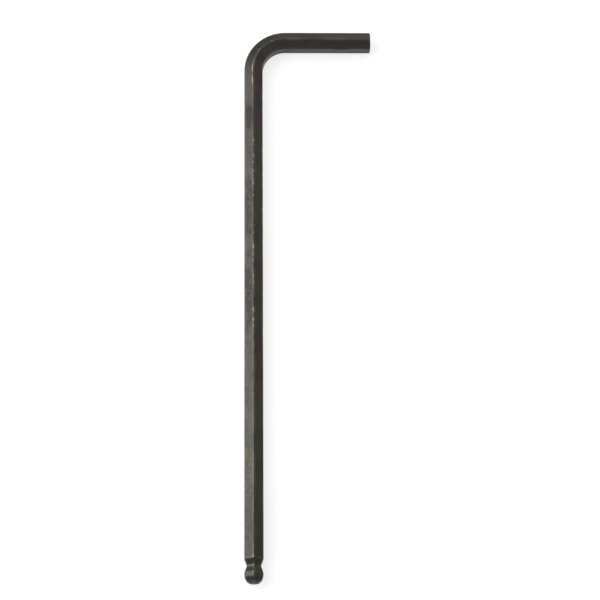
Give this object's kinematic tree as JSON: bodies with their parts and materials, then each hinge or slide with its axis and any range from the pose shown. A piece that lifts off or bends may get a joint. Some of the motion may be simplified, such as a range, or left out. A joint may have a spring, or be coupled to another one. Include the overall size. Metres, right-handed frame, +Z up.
{
  "type": "ball-end hex key",
  "caption": "L-shaped hexagonal steel key with a milled ball on the long arm and a square-cut chamfered short arm.",
  "frame": {"origin": "centre of the bounding box at the height of the surface the key lies on", "axes": "+Z up from that surface, +Y along the long arm from the ball to the bend, +X along the short arm from the bend to its square end"},
  "size_m": [0.0348, 0.154, 0.0056],
  "materials": {
    "black_oxide_steel": "black oxide over smooth drawn steel, warm black, with a semi-gloss sheen and faint brown mottling"
  },
  "bodies": {
    "root": {"hex_key": "black_oxide_steel"}
  },
  "joints": []
}
